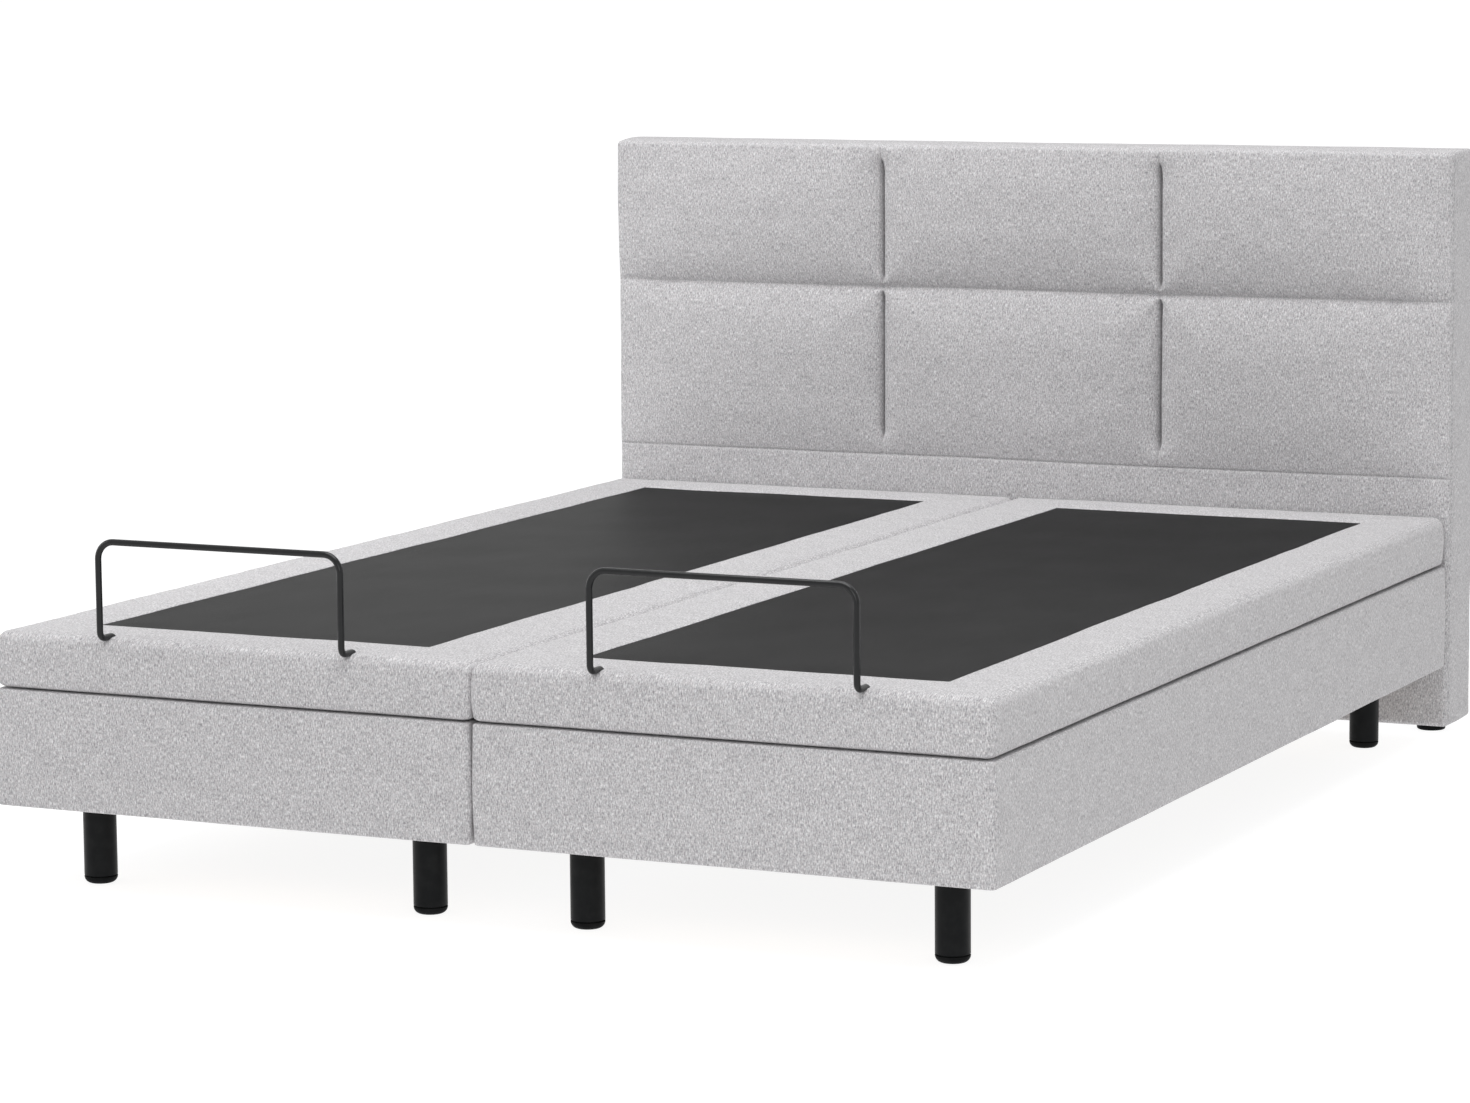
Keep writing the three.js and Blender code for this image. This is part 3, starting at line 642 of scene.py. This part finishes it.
def add_inlay(deck, span):
    """The black panel sewn into the cover's top, one thin piece for each span."""
    name, start, end, near, far, fold, direction = span
    x0, x1, y0, y1 = deck.inlay()
    low = np.array([x0, max(start, y0), deck.high[2] - INLAY_DEPTH - 0.0016])
    high = np.array([x1, min(end, y1), deck.high[2] - INLAY_DEPTH + 0.0012])
    fold_lines = [fold + FOLD * k / 8 for k in range(-9, 10)]
    ys = stations(low[1], high[1], 0.02, (None, None), fold_lines)
    xs = stations(x0, x1, 0.02)
    zs = np.array([low[2], high[2]])
    rest, faces = block_surface(xs, ys, zs)
    points = rest.copy()
    middle = np.array([(x0 + x1) / 2, (y0 + y1) / 2])
    inside = np.minimum((x1 - x0) / 2 - np.abs(rest[:, 0] - middle[0]),
                        (y1 - y0) / 2 - np.abs(rest[:, 1] - middle[1]))
    # at the deck's top, so that the panel follows the cover's ripples
    on_deck = rest * np.array([1, 1, 0]) + np.array([0, 0, deck.high[2]])
    points[:, 2] += 0.0011 * ripple(on_deck, 0.16, deck.seed)
    points[:, 2] += 0.0010 * ease(0.0, 0.06, inside)
    points += deck.wander(on_deck)
    panel = add_piece(f"{deck.side}_{name}_panel", points, faces, MATERIALS["nonwoven"])
    map_cloth(panel)
    attach(panel)


def add_deck(side):
    deck = Deck(side)
    for span in deck_spans(deck):
        add_deck_cover(deck, span)
        add_inlay(deck, span)
    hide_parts(f"{side}_calf_board", f"{side}_calf_pad")
    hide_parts(f"{side}_thigh_board", f"{side}_thigh_pad",
                f"{side}_seat_board", f"{side}_seat_pad")
    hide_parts(f"{side}_head_board", f"{side}_head_pad")


# ---- Plinth ----
PLINTH_EDGE = 0.009  # rounding of the upright edges
HEM = 0.028  # turned in under the frame and over its top
HEM_CORNER = 0.001  # rounding of the hem's inner corners


def perimeter(low, high, radius, step):
    """Points and outward directions round a rectangle with round corners."""
    centres = [(high[0] - radius, low[1] + radius, -90), (high[0] - radius, high[1] - radius, 0),
               (low[0] + radius, high[1] - radius, 90), (low[0] + radius, low[1] + radius, 180)]
    path = []
    for x, y, start in centres:
        arc = []
        for k in range(9):
            angle = math.radians(start + 90 * k / 8)
            out = (math.cos(angle), math.sin(angle))
            arc.append((x + radius * out[0], y + radius * out[1], *out))
        if path:
            path += between(path[-1], arc[0], step)
        path += arc
    return np.array(path + between(path[-1], path[0], step))


def between(a, b, step):
    count = math.ceil(math.dist(a[:2], b[:2]) / step)
    return [(a[0] + (b[0] - a[0]) * k / count, a[1] + (b[1] - a[1]) * k / count, b[2], b[3])
            for k in range(1, count)]


def plinth_profile(bottom, top):
    """[offset outwards, height] round the cover's section: lower hem, outer face, upper hem and lining."""
    edge = 0.004
    points = [(-HEM, bottom - 0.0001), (-HEM, bottom - 0.0012), (-edge, bottom - 0.0012)]
    for k in range(1, 6):
        angle = math.radians(90 * k / 5)
        points.append((-edge + edge * math.sin(angle), bottom - 0.0012 + edge - edge * math.cos(angle)))
    steps = 20
    rise = top - bottom - 2 * edge
    bulge = 0.0022
    points += [(bulge * math.sin(math.pi * k / steps), bottom + edge + rise * k / steps)
               for k in range(1, steps)]
    for k in range(6):
        angle = math.radians(90 * k / 5)
        points.append((-edge + edge * math.cos(angle), top + 0.0008 - edge + edge * math.sin(angle)))
    lining = -0.0046
    points += [(-HEM, top + 0.0008), (-HEM, top + 0.0002), (lining, top + 0.0002), (lining, bottom - 0.0001)]
    return points


def add_plinth_cover(side):
    low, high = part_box(f"{side}_plinth_cover")
    path = perimeter(low, high, PLINTH_EDGE, 0.025)
    profile = plinth_profile(low[2], high[2])
    seed = 21.0 if side == "left" else 22.0
    rings, count = len(profile), len(path)
    points = np.array([(x + ox * offset, y + oy * offset, z)
                       for x, y, ox, oy in path for offset, z in profile])
    outward = np.array([(ox, oy) for _, _, ox, oy in path for _ in profile])
    inner = np.tile([offset == -HEM for offset, _ in profile], count)
    inset = HEM + HEM_CORNER
    points[inner, :2] = np.clip(points[inner, :2], np.array(low[:2]) + inset, np.array(high[:2]) - inset)
    points[inner, :2] += HEM_CORNER * outward[inner]
    height = (points[:, 2] - low[2]) / (high[2] - low[2])
    loose = np.tile([1.0 if offset > -0.0041 else 0.0 for offset, _ in profile], count)
    uneven = 0.0015 * ripple(points, 0.22, seed) + 0.0005 * ripple(points, 0.06, seed + 1)
    points[:, 0] += loose * outward[:, 0] * uneven
    points[:, 1] += loose * outward[:, 1] * uneven
    points[:, 2] -= 0.0007 * loose * ease(0.85, 1.0, height) * (1.0 + ripple(points, 0.25, seed + 2))
    faces = []
    for i in range(count):
        ahead = (i + 1) % count
        for k in range(rings):
            up = (k + 1) % rings
            faces.append((i * rings + k, ahead * rings + k, ahead * rings + up, i * rings + up))
    cover = add_piece(f"{side}_plinth_upholstery", points, faces, MATERIALS["fabric"])
    map_cloth(cover)
    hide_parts(f"{side}_plinth_cover")
    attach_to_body(cover, "bed")


# ---- Headboard ----
HEADBOARD_EDGE = 0.008
BACK_EDGE = 0.006
GROOVE_HEIGHT = 0.739  # above the headboard's underside
LOWER_SEAM = 0.434
SLIT_SHARE = 1 / 6  # of the width, from the middle
PUFF = 0.0045  # thickness of the wadding at rest; the simulation adds AIR
AIR = 0.0075


def headboard_relief(x, z, low, high):
    """How far the front stands out at each place: panels between a groove, slits and seams."""
    half = (high[0] - low[0]) / 2
    groove = z - (low[2] + GROOVE_HEIGHT)
    seam = z - (low[2] + LOWER_SEAM)
    edge = np.minimum(half - np.abs(x), high[2] - z)
    slit = np.abs(x) - 2 * half * SLIT_SHARE
    padded = ease(-0.004, 0.03, seam) * (0.35 + 0.65 * ease(0.0, 0.10, edge))
    relief = PUFF * padded
    relief -= padded * (0.0085 * dent(groove, 0.022) + 0.0095 * dent(groove, 0.0050))
    upper = ease(0.005, 0.026, groove) * ease(0.022, 0.044, high[2] - z)
    lower = ease(0.004, 0.022, -groove) * ease(0.018, 0.042, seam)
    length = np.maximum(upper, lower)
    relief -= length * (0.0200 * dent(slit, 0.0026) + 0.0090 * dent(slit, 0.015))
    relief -= 0.0022 * dent(slit, 0.0022) * ease(-0.002, 0.002, seam) * (1.0 - length)
    relief -= 0.0030 * dent(seam, 0.0022)
    return relief


def front_stitches(rest, x, z, low, high):
    """True where the cover is sewn down or stretched flat: everywhere but on the six panels."""
    half = (high[0] - low[0]) / 2
    groove, seam = z - (low[2] + GROOVE_HEIGHT), z - (low[2] + LOWER_SEAM)
    slit = np.abs(x) - 2 * half * SLIT_SHARE
    off_front = rest[:, 1] > low[1] + 1e-6
    edge = np.minimum(half - np.abs(x), high[2] - z) < HEADBOARD_EDGE
    return off_front | edge | (seam < 0.004) | (np.abs(groove) < 0.004) | (np.abs(slit) < 0.003)


def add_headboard_cover():
    low, high = (np.array(corner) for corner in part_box("headboard_padding"))
    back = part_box("headboard_core")[1][1]
    high[1] = back
    middle = (low[0] + high[0]) / 2
    slit = (high[0] - low[0]) * SLIT_SHARE
    lines = [p for place in (middle - slit, middle + slit) for p in line_steps(place)]
    xs = stations(low[0], high[0], 0.016, (HEADBOARD_EDGE, HEADBOARD_EDGE), lines)
    rows = line_steps(low[2] + GROOVE_HEIGHT) + line_steps(low[2] + LOWER_SEAM)
    zs = stations(low[2], high[2], 0.014, (HEADBOARD_EDGE, HEADBOARD_EDGE), rows)
    band_seam = low[1] + HEADBOARD_EDGE + 0.002
    seam_lines = line_steps(band_seam, (0.0, 0.001, 0.0022, 0.004))
    ys = stations(low[1], high[1], 0.02, (HEADBOARD_EDGE, BACK_EDGE), seam_lines)
    rest, faces = block_surface(xs, ys, zs)
    radii = ((HEADBOARD_EDGE,) * 2, (HEADBOARD_EDGE, BACK_EDGE), (HEADBOARD_EDGE,) * 2)
    points = rounded(rest, low, high, radii)
    x, z = rest[:, 0] - middle, rest[:, 2]
    front = ease(HEADBOARD_EDGE, 0.0, rest[:, 1] - low[1])
    points[:, 1] -= front * headboard_relief(x, z, low, high)
    uneven = ripple(rest, 0.24, 31) * 0.0022 + ripple(rest, 0.07, 32) * 0.0007
    padded = ease(-0.01, 0.05, z - (low[2] + LOWER_SEAM))
    points[:, 1] -= front * uneven * padded
    crease = dent(rest[:, 1] - band_seam, 0.0016)
    top, sides = ease(0.02, 0.0, high[2] - z), ease(0.02, 0.0, (high[0] - low[0]) / 2 - np.abs(x))
    crown = np.sin(np.pi * np.clip((rest[:, 1] - low[1]) / (high[1] - low[1]), 0, 1))
    points[:, 2] += top * (0.004 * crown + 0.0012 * uneven / 0.0022 - 0.0055 * crease)
    points[:, 0] += sides * np.sign(x) * (0.0030 * crown + uneven - 0.0045 * crease)
    points[:, 0] += 0.0022 * front * ripple(rest * np.array([0.3, 1, 1]), 0.21, 33) * (1.0 - sides)
    points[:, 2] += 0.0024 * front * ripple(rest * np.array([1, 1, 0.3]), 0.34, 34) * (1.0 - top)
    cover = add_piece("headboard_cover", points, faces, MATERIALS["fabric"], MATERIALS["nonwoven"])
    inflate(cover, front_stitches(rest, x, z, low, high), AIR)
    for face in cover.data.polygons:
        x, z = face.center.x, face.center.z
        inset = min(x - low[0], high[0] - x, z - low[2], high[2] - z)
        face.material_index = 1 if face.normal.y > 0.9 and inset > 0.03 else 0
    map_cloth(cover)
    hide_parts("headboard_padding", "headboard_core")
    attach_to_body(cover, "bed")


# ---- Turned pieces: legs, foot caps and glides ----
def turned(name, profile, centre, material, segments=72):
    """A closed solid turned from [radius, height] points that start and end on the axis."""
    points, faces = [(centre[0], centre[1], profile[0][1])], []
    rings = profile[1:-1]
    for radius, height in rings:
        for k in range(segments):
            angle = 2 * math.pi * k / segments
            points.append((centre[0] + radius * math.cos(angle), centre[1] + radius * math.sin(angle), height))
    points.append((centre[0], centre[1], profile[-1][1]))
    last = len(points) - 1
    for k in range(segments):
        ahead = (k + 1) % segments
        faces.append((0, 1 + ahead, 1 + k))
        for ring in range(len(rings) - 1):
            a, b = 1 + ring * segments, 1 + (ring + 1) * segments
            faces.append((a + k, a + ahead, b + ahead, b + k))
        final = 1 + (len(rings) - 1) * segments
        faces.append((final + k, final + ahead, last))
    return add_piece(name, points, faces, material, sharp=35)


def arc(centre, radius, start, end, count):
    """[radius, height] points of an arc, its angles in degrees."""
    angles = [math.radians(start + (end - start) * k / count) for k in range(count + 1)]
    return [(centre[0] + radius * math.cos(a), centre[1] + radius * math.sin(a)) for a in angles]


def add_leg(side, corner):
    low, high = (Vector(v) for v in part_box(f"{side}_leg_{corner}"))
    centre = (low + high) / 2
    radius = (high.x - low.x) / 2
    wall, chamfer = 0.002, 0.0007
    profile = [(0, high.z - 0.005), (radius - wall, high.z - 0.005), (radius - wall, low.z),
               (radius - chamfer, low.z), (radius, low.z + chamfer), (radius, high.z - chamfer),
               (radius - chamfer, high.z), (0, high.z)]
    leg = turned(f"{side}_tube_{corner}", profile, centre, MATERIALS["black_metal"])
    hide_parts(f"{side}_leg_{corner}")
    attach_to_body(leg, "bed")


def add_foot_cap(side, corner):
    low, high = (Vector(v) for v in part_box(f"{side}_foot_cap_{corner}"))
    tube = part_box(f"{side}_leg_{corner}")[0]
    centre = (low + high) / 2
    radius = (high.x - low.x) / 2
    dome, lip = 0.0105, 0.0006
    rim = tube[2] - 0.0012
    plug = radius - 0.0023
    profile = [(0, 0), *arc((radius - dome, dome), dome, -90, 0, 10),
               *arc((radius - lip, rim - lip), lip, 0, 90, 3),
               (plug, rim), (plug, high.z), (0, high.z)]
    cap = turned(f"{side}_cap_{corner}", profile, centre, MATERIALS["black_plastic"])
    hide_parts(f"{side}_foot_cap_{corner}")
    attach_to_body(cap, "bed")


def add_glide(side):
    low, high = (Vector(v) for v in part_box(f"headboard_glide_{side}"))
    centre = (low + high) / 2
    radius = (high.x - low.x) / 2
    edge = 0.004
    profile = [(0, 0), *arc((radius - edge, edge), edge, -90, 0, 6), (radius, high.z - 0.001),
               (radius - 0.001, high.z), (0, high.z)]
    glide = turned(f"glide_{side}", profile, centre, MATERIALS["black_plastic"])
    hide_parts(f"headboard_glide_{side}")
    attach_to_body(glide, "bed")


# ---- Retainer bars ----
def bent_path(corners, radii, count=10):
    """The corners joined by straight lines, each corner between them rounded by its radius."""
    path = [corners[0]]
    for before, corner, after, radius in zip(corners, corners[1:], corners[2:], radii):
        back, ahead = (before - corner).normalized(), (after - corner).normalized()
        half = back.angle(ahead) / 2
        centre = corner + (back + ahead).normalized() * (radius / math.sin(half))
        start = corner + back * (radius / math.tan(half)) - centre
        axis = ahead.cross(back).normalized()
        turn = math.pi - 2 * half
        path += [centre + Matrix.Rotation(turn * k / count, 3, axis) @ start for k in range(count + 1)]
    return path + [corners[-1]]


def add_retainer_bar(side):
    low, high = (Vector(v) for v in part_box(f"{side}_retainer_bar"))
    radius = 0.0048
    cad_radius = 0.005
    left, right = low.x + cad_radius, high.x - cad_radius
    front, back = low.y + cad_radius, high.y - cad_radius
    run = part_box(f"{side}_calf_pad")[1][2] + 0.0016  # pressed into the pad
    rail = high.z - cad_radius
    post = [Vector((0, back, low.z)), Vector((0, back, run)), Vector((0, front, run)), Vector((0, front, rail))]
    corners = [p + Vector((left, 0, 0)) for p in post] + [p + Vector((right, 0, 0)) for p in reversed(post)]
    path = bent_path(corners, [0.011, 0.011, 0.026, 0.026, 0.011, 0.011])
    points, faces = sweep(path, radius, 20)
    bar = add_piece(f"{side}_bar", points, faces, MATERIALS["black_gloss"])
    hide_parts(f"{side}_retainer_bar")
    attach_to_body(bar, f"{side}_calf")


def sweep(path, radius, sides):
    """A round rod along a path, closed at both ends."""
    tangents = [(b - a).normalized() for a, b in zip(path, path[1:])]
    tangents = [tangents[0]] + [(a + b).normalized() for a, b in zip(tangents, tangents[1:])] + [tangents[-1]]
    across = tangents[0].orthogonal().normalized()
    points, faces = [], []
    for place, tangent in zip(path, tangents):
        across = (across - tangent * across.dot(tangent)).normalized()
        other = tangent.cross(across)
        for k in range(sides):
            angle = 2 * math.pi * k / sides
            points.append(place + (across * math.cos(angle) + other * math.sin(angle)) * radius)
    for i in range(len(path) - 1):
        for k in range(sides):
            ahead = (k + 1) % sides
            faces.append((i * sides + k, i * sides + ahead, (i + 1) * sides + ahead, (i + 1) * sides + k))
    faces.append(tuple(range(sides - 1, -1, -1)))
    faces.append(tuple(range((len(path) - 1) * sides, len(path) * sides)))
    return points, faces


# ---- Whole bed ----
def finish_frame_nodes():
    """The mechanism and the plinth's timber keep their shape and get their finish."""
    for name, node in frame["nodes"].items():
        if node.hide_render:
            continue
        material = MATERIALS[SLOTS[name]]
        node.data.materials.clear()
        node.data.materials.append(material)


bpy.context.scene.view_settings.view_transform = "Standard"
add_camera()
add_world(ambient=0.50, mirrored=0.95, background=1.05)
add_floor()
add_area_light("overhead", (0.4, -1.2, 6.0), (0.2, -0.3, 0.0), 6.0, 332.0)
add_area_light("key", (1.5, -3.5, 1.3), (0.6, -1.1, 0.25), 1.4, 12.5)
add_area_light("side", (-4.2, -2.4, 2.8), (0.0, 0.2, 0.5), 2.4, 5.0)
add_area_light("headboard", (-1.9, -1.3, 0.95), (-0.10, 0.97, 0.45), 1.2, 4.0, spread=80.0)

for base_side in SIDES:
    add_deck(base_side)
    add_plinth_cover(base_side)
    add_retainer_bar(base_side)
    for leg_corner in CORNERS:
        add_leg(base_side, leg_corner)
        add_foot_cap(base_side, leg_corner)
    add_glide(base_side)
add_headboard_cover()
finish_frame_nodes()
